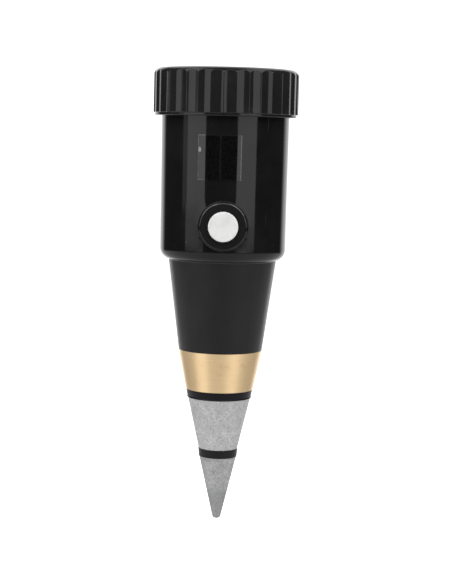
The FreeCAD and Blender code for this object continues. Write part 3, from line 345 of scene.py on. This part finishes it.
def brass_finish():
    """Satin turned brass: fine rings round the axis, slight tarnish, highlights drawn out along the axis."""
    finish = Finish("electrode_brass", metallic=1.0, anisotropic=0.85, anisotropic_rotation=0.25)
    rings = finish.noise(0.30, 3, 0.75, stretch=(0.03, 0.03, 1))
    tarnish = finish.noise(4, 5, 0.7)
    bright = finish.blend(finish.ramp(rings, 0.25, 0.75), (0.935, 0.685, 0.395), (0.98, 0.745, 0.445))
    tarnished = finish.ramp(tarnish, 0.52, 0.75, 0, 0.55)
    finish.set("Base Color", finish.blend(tarnished, bright, (0.80, 0.56, 0.31)))
    finish.set("Roughness", finish.ramp(rings, 0.3, 0.7, 0.44, 0.49))
    tangent = finish.node("ShaderNodeTangent", {"direction_type": "RADIAL", "axis": "Z"})
    finish.set("Tangent", tangent.outputs["Tangent"])
    finish.bump(rings, 0.005)
    finish.cover("brass_electrode")


def grey_metal_finish(name, node, light, dark, pits, mark_mm, mark_shade):
    """Dull cast metal with a mottled oxide skin: cloudy patches, fine grain, pits, one broken mark round it at
    mark_mm above the tip's point, and a darker tone over the lowest part."""
    finish = Finish(name, metallic=0.75)
    clouds = finish.noise(3.0, 6, 0.8, distortion=0.3)
    grain = finish.noise(0.5, 4, 0.85, stretch=(1, 1, 0.6))
    streaks = finish.noise(1.1, 4, 0.7, stretch=(0.3, 0.3, 1.6), distortion=0.8)
    height = finish.axis("Z")
    waver = finish.ramp(finish.noise(4, 3), 0.2, 0.8, (mark_mm - 1.2) * MM, (mark_mm + 1.2) * MM,
                        smooth=False)
    mark = finish.math("MULTIPLY", finish.ramp(finish.distance(height, waver), 0.35 * MM, 0.05 * MM),
                       finish.ramp(streaks, 0.44, 0.58))
    mottle = finish.blend(finish.ramp(clouds, 0.32, 0.68), light, dark)
    for share, colour in ((finish.ramp(height, 13 * MM, 8 * MM, 0, 0.55), shaded(dark, 0.65)),
                          (finish.ramp(grain, 0.42, 0.66, 0, 0.8), shaded(dark, 0.62)),
                          (finish.ramp(streaks, 0.60, 0.72, 0, 0.25), shaded(light, 1.2)),
                          (finish.math("MULTIPLY", mark, 0.5), (mark_shade, mark_shade, mark_shade)),
                          (finish.ramp(finish.noise(0.9, 2, 0.5, distortion=1.5), 0.70, 0.78, 0, pits), PIT)):
        mottle = finish.blend(share, mottle, colour)
    finish.set("Base Color", mottle)
    finish.set("Roughness", finish.ramp(clouds, 0.3, 0.7, 0.50, 0.66))
    finish.bump(grain, 0.03)
    finish.bump(clouds, 0.03)
    finish.cover(node)


def plain_metal(name, colour, nodes, roughness=0.25, grain_mm=0.3, stretch=(1, 1, 1)):
    """Machined or plated metal with fine grain and faint handling marks."""
    finish = Finish(name, metallic=1.0)
    grain = finish.noise(grain_mm, 3, 0.6, stretch=stretch)
    marks = finish.noise(2.5, 4, 0.6)
    finish.set("Base Color", finish.blend(finish.ramp(marks, 0.4, 0.75), colour, shaded(colour, 0.8)))
    finish.set("Roughness", finish.ramp(grain, 0.3, 0.7, roughness, roughness + 0.15))
    finish.bump(grain, 0.006)
    finish.cover(*nodes)


def plain_solid(name, colour, nodes, roughness=0.45, grain_mm=0.4):
    """Plastic, rubber, fibre or board with fine grain."""
    finish = Finish(name, ior=1.48)
    grain = finish.noise(grain_mm, 3, 0.6)
    finish.set("Base Color", finish.blend(grain, colour, shaded(colour, 0.75)))
    finish.set("Roughness", finish.ramp(grain, 0.3, 0.7, roughness, roughness + 0.12))
    finish.bump(grain, 0.008)
    finish.cover(*nodes)
    return finish


def coil_finish():
    """Enamelled copper wire wound round the coil's frame."""
    finish = Finish("coil_winding", metallic=0.85)
    turns = finish.node("ShaderNodeTexWave", {"bands_direction": "Y"}, Vector=finish.place(),
                        Scale=WIRE_SCALE)
    wire = turns.outputs["Fac"]
    finish.set("Base Color", finish.blend(wire, (0.16, 0.045, 0.018), (0.50, 0.17, 0.06)))
    finish.set("Roughness", finish.ramp(wire, 0.0, 1.0, 0.4, 0.22))
    finish.bump(wire, 0.03)
    finish.cover("moving_coil")


def dial_finish():
    """Warm white printed card of the dial."""
    finish = Finish("dial_paint", ior=1.45)
    fibre = finish.noise(0.5, 4, 0.6)
    finish.set("Base Color", finish.blend(fibre, (0.82, 0.81, 0.76), (0.74, 0.73, 0.68)))
    finish.set("Roughness", finish.ramp(fibre, 0.3, 0.7, 0.38, 0.5))
    finish.bump(fibre, 0.004)
    finish.cover("dial_plate")


def window_finish():
    """Clear acrylic window with faint wiping marks."""
    finish = Finish("window_acrylic", ior=1.49)
    finish.set("Transmission Weight", 1.0)
    finish.set("Base Color", (0.97, 0.985, 0.98))
    wipe = finish.noise(2.0, 4, 0.7, stretch=(1, 0.1, 1))
    finish.set("Roughness", finish.ramp(wipe, 0.5, 0.8, 0.01, 0.05))
    finish.bump(finish.noise(9, 1), 0.004)
    finish.cover("window")


def resistor_finish():
    """Beige lacquer with colour bands across the resistor bodies, and tinned leads beyond them."""
    finish = Finish("resistor_lacquer", ior=1.5, roughness=0.35)
    along = finish.axis("X")
    body = finish.blend(finish.noise(0.5, 3), (0.55, 0.42, 0.25), (0.47, 0.35, 0.20))
    bands = ((-2.2, (0.20, 0.06, 0.01)), (-0.9, (0.01, 0.01, 0.01)), (0.3, (0.50, 0.03, 0.01)),
             (2.2, (0.55, 0.38, 0.08)))
    for place_mm, colour in bands:
        on_band = finish.math("LESS_THAN", finish.distance(along, place_mm * MM), 0.3 * MM)
        body = finish.blend(on_band, body, colour)
    leads = finish.math("GREATER_THAN", finish.math("ABSOLUTE", along), 3.4 * MM)
    finish.set("Base Color", finish.blend(leads, body, (0.60, 0.60, 0.60)))
    finish.set("Metallic", leads)
    finish.bump(finish.noise(0.4, 2), 0.01)
    finish.cover("resistors")


def finish_all():
    body_finish()
    cap_finish()
    flange_finish()
    button_finish()
    collar_finish("upper_collar_plastic", "upper_collar", (0.0048, 0.0038, 0.0062), (0.0092, 0.0076, 0.0120),
                  shine=0.17)
    collar_finish("lower_collar_plastic", "lower_collar", (0.0040, 0.0040, 0.0042), (0.0095, 0.0095, 0.0097),
                  shine=0.27)
    nameplate_finish()
    brass_finish()
    grey_metal_finish("ring_oxide", "ring_electrode", (0.75, 0.75, 0.75), (0.60, 0.60, 0.605),
                      pits=0.25, mark_mm=32.0, mark_shade=0.95)
    grey_metal_finish("tip_oxide", "tip_electrode", (0.66, 0.66, 0.66), (0.48, 0.48, 0.485),
                      pits=0.75, mark_mm=22.0, mark_shade=0.16)
    coil_finish()
    dial_finish()
    window_finish()
    resistor_finish()
    plain_metal("screw_steel", (0.62, 0.62, 0.61), ["dial_screws", "bridge_screws", "movement_screws",
                                                    "jewel_screws", "brass_contact_screw"], 0.2)
    plain_metal("nickel_plate", (0.66, 0.65, 0.62), ["switch_nut", "switch_washer", "clamp_nut", "tip_nut"],
                0.18)
    plain_metal("plain_steel", (0.50, 0.50, 0.50), ["tie_rod", "clamp_washer", "coil_pivots"], 0.28,
                stretch=(1, 1, 0.1))
    plain_metal("magnet_alloy", (0.22, 0.22, 0.225), ["core_magnet"], 0.42, 0.2)
    plain_metal("soft_iron", (0.42, 0.42, 0.43), ["yoke_ring"], 0.32, 0.25, (0.1, 0.1, 1))
    plain_metal("bridge_brass", (0.70, 0.52, 0.26), ["upper_bridge", "lower_bridge", "core_spacers",
                                                     "balance_weights", "contact_tube"], 0.3)
    plain_metal("spring_bronze", (0.62, 0.36, 0.17), ["upper_hairspring", "lower_hairspring"], 0.22)
    plain_metal("contact_copper", (0.66, 0.36, 0.22), ["contact_bridge", "switch_terminals"], 0.26)
    plain_metal("tinned_brass", (0.66, 0.66, 0.66), ["solder_tags", "meter_terminals"], 0.24)
    plain_solid("pointer_enamel", (0.006, 0.006, 0.006), ["pointer"], 0.35)
    plain_solid("ring_black", (0.012, 0.012, 0.012), ["dial_ring"], 0.5)
    plain_solid("meter_case_plastic", (0.02, 0.02, 0.022), ["meter_case"], 0.42)
    plain_solid("seal_rubber", (0.012, 0.012, 0.012), ["window_gasket", "probe_seal"], 0.6)
    plain_solid("red_fibre", (0.28, 0.06, 0.035), ["tip_washer"], 0.7, 0.25)
    plain_solid("board_mask", (0.015, 0.11, 0.05), ["circuit_board"], 0.3)
    plain_solid("lead_red", (0.45, 0.02, 0.015), ["lead_brass", "lead_meter_left"], 0.35)
    plain_solid("lead_black", (0.012, 0.012, 0.012), ["lead_ring", "lead_meter_right"], 0.35)
    plain_solid("lead_blue", (0.02, 0.07, 0.32), ["lead_tip"], 0.35)


# ---- pieces ----------------------------------------------------------------------------------------------

def piece_from(mesh_maker, name, body, smooth=False):
    """Makes a mesh piece with bmesh code and lets it ride on a body."""
    mesh = bpy.data.meshes.new(name)
    work = bmesh.new()
    mesh_maker(work)
    bmesh.ops.recalc_face_normals(work, faces=work.faces)
    for face in work.faces:
        face.smooth = smooth
    work.to_mesh(mesh)
    work.free()
    piece = bpy.data.objects.new(name, mesh)
    bpy.context.scene.collection.objects.link(piece)
    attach(piece, body)
    return piece


# The dial: two scales on one arc about the meter's axis, in degrees from straight up, positive to the left.
SCALE_HALF_SWEEP = 45
SCALE_RADIUS = 18.1 * MM
BAND_HALF = 0.55 * MM
LINE_HALF = 0.06 * MM
INK = 0.03 * MM
TICKS_PER_NUMBER = 5
ACID_NUMBERS = "876543"
MOISTURE_NUMBERS = "12345678"


def dial_point(angle, radius, height=0.0):
    turn = math.radians(angle)
    return METER_AXIS + Vector((-radius * math.sin(turn), radius * math.cos(turn), DIAL_TOP + height))


def add_arc_bar(work, start, end, inner, outer, steps):
    """A thin raised bar bent along the scale's arc."""
    rows = []
    for step in range(steps + 1):
        angle = start + (end - start) * step / steps
        rows.append([work.verts.new(dial_point(angle, radius, height))
                     for height in (0.0, INK) for radius in (inner, outer)])
    for before, after in zip(rows, rows[1:]):
        for first, second in ((0, 1), (1, 3), (3, 2), (2, 0)):
            work.faces.new((before[first], before[second], after[second], after[first]))
    for row in (rows[0], rows[-1]):
        work.faces.new((row[0], row[1], row[3], row[2]))


def add_ticks(work, numbers, start, major, minor):
    """Ticks from the radius start. A major or minor one has its length, and half its width in degrees."""
    count = (len(numbers) - 1) * TICKS_PER_NUMBER
    for tick in range(count + 1):
        angle = SCALE_HALF_SWEEP - 2 * SCALE_HALF_SWEEP * tick / count
        length, half_width = minor if tick % TICKS_PER_NUMBER else major
        ends = sorted((start, start + length))
        add_arc_bar(work, angle - half_width, angle + half_width, *ends, 1)


def dial_marks(work):
    outer, inner = SCALE_RADIUS + BAND_HALF, SCALE_RADIUS - BAND_HALF
    for radius in (outer, inner):
        add_arc_bar(work, -SCALE_HALF_SWEEP, SCALE_HALF_SWEEP, radius - LINE_HALF, radius + LINE_HALF, 48)
    add_ticks(work, ACID_NUMBERS, outer, major=(1.1 * MM, 0.22), minor=(0.65 * MM, 0.12))
    add_ticks(work, MOISTURE_NUMBERS, inner, major=(-1.0 * MM, 0.24), minor=(-0.6 * MM, 0.13))


def dial_band(work):
    """Tinted band between the two scales, over the range that suits most plants."""
    half = BAND_HALF - 0.08 * MM
    add_arc_bar(work, -9, 27, SCALE_RADIUS - half, SCALE_RADIUS + half, 24)


def number_mesh(work, text, angle, radius, height):
    """One number as flat raised type, upright along its radius."""
    curve = bpy.data.curves.new("number", "FONT")
    curve.body = text
    curve.size = height
    curve.align_x = "CENTER"
    curve.align_y = "CENTER"
    curve.extrude = INK / 2
    holder = bpy.data.objects.new("number", curve)
    bpy.context.scene.collection.objects.link(holder)
    mesh = bpy.data.meshes.new_from_object(holder)
    mesh.transform(Matrix.Rotation(math.radians(angle), 4, "Z"))
    mesh.transform(Matrix.Translation(dial_point(angle, radius, INK / 2)))
    work.from_mesh(mesh)
    bpy.data.objects.remove(holder)


def dial_numbers(work):
    for numbers, radius, size in ((ACID_NUMBERS, SCALE_RADIUS + 2.75 * MM, 2.3 * MM),
                                  (MOISTURE_NUMBERS, SCALE_RADIUS - 2.55 * MM, 1.7 * MM)):
        step = 2 * SCALE_HALF_SWEEP / (len(numbers) - 1)
        for index, text in enumerate(numbers):
            number_mesh(work, text, SCALE_HALF_SWEEP - step * index, radius, size)


def make_dial_print():
    ink = plain_solid("dial_ink", (0.01, 0.01, 0.012), [], 0.5)
    for maker, name in ((dial_marks, "dial_marks"), (dial_numbers, "dial_numbers")):
        ink.cover(piece_from(maker, name, "housing"))
    tint = plain_solid("dial_green_ink", (0.04, 0.28, 0.07), [], 0.5)
    tint.cover(piece_from(dial_band, "dial_band", "housing"))


def add_tube(work, points, radius, sides=10):
    """A round tube along a line of points, closed at both ends."""
    rings = []
    for index, point in enumerate(points):
        ahead = points[min(index + 1, len(points) - 1)] - points[max(index - 1, 0)]
        turn = ahead.to_track_quat("Z", "Y")
        circle = [turn @ Vector((radius * math.cos(a), radius * math.sin(a), 0))
                  for a in (2 * math.pi * side / sides for side in range(sides))]
        rings.append([work.verts.new(point + offset) for offset in circle])
    for before, after in zip(rings, rings[1:]):
        for side in range(sides):
            following = (side + 1) % sides
            work.faces.new((before[side], before[following], after[following], after[side]))
    work.faces.new(rings[0][::-1])
    work.faces.new(rings[-1])


def spring_wire(work):
    """The button's return spring. Its wire lies flat over flat_share of its length at each end."""
    low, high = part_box("switch_spring")
    wire_radius = 0.3 * MM
    mean = (high.z - low.z) / 2 - wire_radius
    first, last = high.y - wire_radius, low.y + wire_radius
    turns, steps, flat_share = 6.5, 260, 0.12
    points = []
    for step in range(steps + 1):
        share = step / steps
        climb = min(max((share - flat_share) / (1 - 2 * flat_share), 0), 1)
        y = first + (last - first) * climb
        angle = 2 * math.pi * turns * share
        points.append(Vector((mean * math.cos(angle), y, SWITCH.z + mean * math.sin(angle))))
    add_tube(work, points, wire_radius)


def make_spring():
    """Stands in for the CAD spring, which it hides."""
    spring = piece_from(spring_wire, "button_spring", "housing", smooth=True)
    plain_metal("spring_steel_wire", (0.58, 0.58, 0.58), [spring], 0.24)
    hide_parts("switch_spring")
    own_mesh(spring)


# ---- lights, floor and camera ----------------------------------------------------------------------------

def area_light(name, place, target, width, height, radiance):
    """A softbox of the given brightness that faces a point."""
    data = bpy.data.lights.new(name, "AREA")
    data.shape = "RECTANGLE"
    data.size = width
    data.size_y = height
    data.energy = radiance * math.pi * width * height
    light = bpy.data.objects.new(name, data)
    light.location = place
    light.rotation_euler = (Vector(target) - Vector(place)).to_track_quat("-Z", "Y").to_euler()
    bpy.context.scene.collection.objects.link(light)


# Each upright softbox: bearing from the front and half its width in degrees, lower and upper edge in metres,
# and brightness, in parts of SOFTBOX_RADIANCE. A skirt is its dimmer foot, a spill its dimmer outer side.
SOFTBOX_DISTANCE = 0.9
SOFTBOX_RADIANCE = 1.72
SOFTBOXES = {
    "left_softbox": (-52.2, 17.9, 0.060, 0.95, 1.0),
    "left_skirt": (-54, 17.9, 0.022, 0.060, 0.62),
    "left_spill": (-75, 4.9, 0.060, 0.95, 0.34),
    "right_softbox": (39.9, 17.9, 0.052, 0.95, 0.95),
    "right_skirt": (39.9, 17.9, 0.022, 0.052, 0.7),
}

# Each slanted panel: its middle, width, height and radiance. All face the middle of the body.
BODY_MIDDLE = (0, 0, 0.08)
PANELS = {
    "overhead_left": ((-0.68, -0.25, 0.92), 0.7, 0.95, 2.0),
    "overhead_right": ((0.68, -0.25, 0.92), 0.7, 0.95, 2.0),
    "front_fill": ((0, -0.90, 0.80), 1.0, 0.45, 3.5),
    "top_fill": ((0, 0.62, 1.2), 1.4, 0.8, 1.6),
}


def make_lights():
    for name, (bearing, half, low, high, radiance) in SOFTBOXES.items():
        turn = math.radians(bearing)
        away = Vector((math.sin(turn), -math.cos(turn), 0)) * SOFTBOX_DISTANCE
        middle = (low + high) / 2
        width = 2 * SOFTBOX_DISTANCE * math.tan(math.radians(half))
        area_light(name, away + Vector((0, 0, middle)), (0, 0, middle), width, high - low,
                   radiance * SOFTBOX_RADIANCE)
    for name, (place, width, height, radiance) in PANELS.items():
        area_light(name, place, BODY_MIDDLE, width, height, radiance)


def make_world():
    """White to the camera and behind the tester, pale below, and dim elsewhere, so that gloss shows edges."""
    world = bpy.data.worlds.new("studio")
    world.use_nodes = True
    bpy.context.scene.world = world
    graph = Graph(world.node_tree)
    background = graph.tree.nodes["Background"]
    graph.feed(background.inputs["Color"], (1, 1, 1))
    coordinates = graph.node("ShaderNodeTexCoord").outputs["Generated"]
    direction = graph.node("ShaderNodeSeparateXYZ", Vector=coordinates).outputs
    leaning = graph.math("MULTIPLY_ADD", direction["X"], 0.04, direction["Y"])
    behind = graph.ramp(leaning, 0.64, 0.84, 0.05, 1.30)
    floor_light = graph.ramp(graph.math("ABSOLUTE", direction["X"]), 0.0, 0.8, 0.72, 0.90)
    below = graph.math("MULTIPLY", floor_light, graph.ramp(direction["Z"], -0.12, -0.28))
    seen = graph.node("ShaderNodeLightPath").outputs["Is Camera Ray"]
    brightest = graph.math("MAXIMUM", behind, below)
    graph.feed(background.inputs["Strength"], graph.math("MAXIMUM", seen, brightest))


def make_floor():
    """A wide pale floor, well below the tip, hidden from gloss and diffuse light: the world stands in there."""
    mesh = bpy.data.meshes.new("floor")
    half, drop = 4.0, -0.09
    corners = [(-half, -half, drop), (half, -half, drop), (half, half, drop), (-half, half, drop)]
    mesh.from_pydata(corners, [], [(0, 1, 2, 3)])
    floor = bpy.data.objects.new("floor", mesh)
    bpy.context.scene.collection.objects.link(floor)
    finish = Finish("floor_paint", roughness=0.9)
    finish.set("Base Color", finish.blend(finish.noise(300, 3), (0.93, 0.93, 0.93), (0.90, 0.90, 0.90)))
    finish.set("Emission Color", (1, 1, 1))
    finish.set("Emission Strength", 0.95)
    mesh.materials.append(finish.material)
    floor.visible_glossy = False
    floor.visible_diffuse = False


# The camera stands in front, a little lower than the cap, looks slightly down and leans a little to one side.
EYE = Vector((0, -0.5544, 0.1374))
YAW, PITCH, ROLL = math.radians(0.163), math.radians(5.74), math.radians(1.38)
LENS_MM = 96.8


def make_camera():
    forward = Vector((math.sin(YAW) * math.cos(PITCH), math.cos(YAW) * math.cos(PITCH), -math.sin(PITCH)))
    right = Vector((math.cos(YAW), -math.sin(YAW), 0))
    up = right.cross(forward)
    leaning_right = math.cos(ROLL) * right + math.sin(ROLL) * up
    leaning_up = math.cos(ROLL) * up - math.sin(ROLL) * right
    data = bpy.data.cameras.new("camera")
    data.lens = LENS_MM
    camera = bpy.data.objects.new("camera", data)
    turn = Matrix((leaning_right, leaning_up, -forward)).transposed().to_4x4()
    camera.matrix_world = Matrix.Translation(EYE) @ turn
    bpy.context.scene.collection.objects.link(camera)
    bpy.context.scene.camera = camera
    bpy.context.scene.view_settings.view_transform = "Standard"


# ---- build -----------------------------------------------------------------------------------------------

make_camera()
finish_all()
make_dial_print()
make_spring()
make_lights()
make_world()
make_floor()
